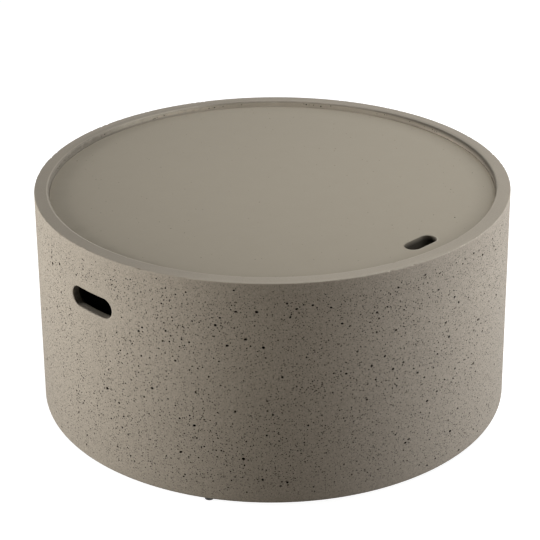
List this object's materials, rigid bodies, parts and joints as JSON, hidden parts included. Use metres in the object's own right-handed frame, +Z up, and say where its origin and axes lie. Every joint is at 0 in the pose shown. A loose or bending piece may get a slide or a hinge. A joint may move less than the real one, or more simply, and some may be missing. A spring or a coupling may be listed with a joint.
{
  "type": "coffee table",
  "caption": "Round hollow drum coffee table in cast stone, with a recessed lift-out lid, hand slots in its side and rubber feet.",
  "frame": {"origin": "on the ground under the middle of the table", "axes": "+Z up through the lid; the hand slots face -X and +X; the lid's finger slot is on the -Y side"},
  "size_m": [0.8097, 0.8098, 0.393],
  "materials": {
    "drum_stone": "matt cast stone with open pores",
    "lid_stone": "fine matt cast stone, nearly closed",
    "pad_rubber": "matt",
    "foot_rubber": "matt",
    "zinc_steel": "zinc plated",
    "plug_nylon": "natural nylon"
  },
  "bodies": {
    "table": {"drum": "drum_stone", "lid_pad_1": "pad_rubber", "lid_pad_2": "pad_rubber", "lid_pad_3": "pad_rubber", "lid_pad_4": "pad_rubber", "lid_pad_5": "pad_rubber", "lid_pad_6": "pad_rubber", "foot_1": "foot_rubber", "foot_2": "foot_rubber", "foot_3": "foot_rubber", "foot_washers": "zinc_steel", "foot_screws": "zinc_steel", "foot_plugs": "plug_nylon"},
    "lid": {"lid": "lid_stone"}
  },
  "joints": [
    {"name": "lid_lift", "type": "slide", "parent": "table", "child": "lid", "axis": [0, 0, 1], "range_m": [0, 0.2]}
  ]
}
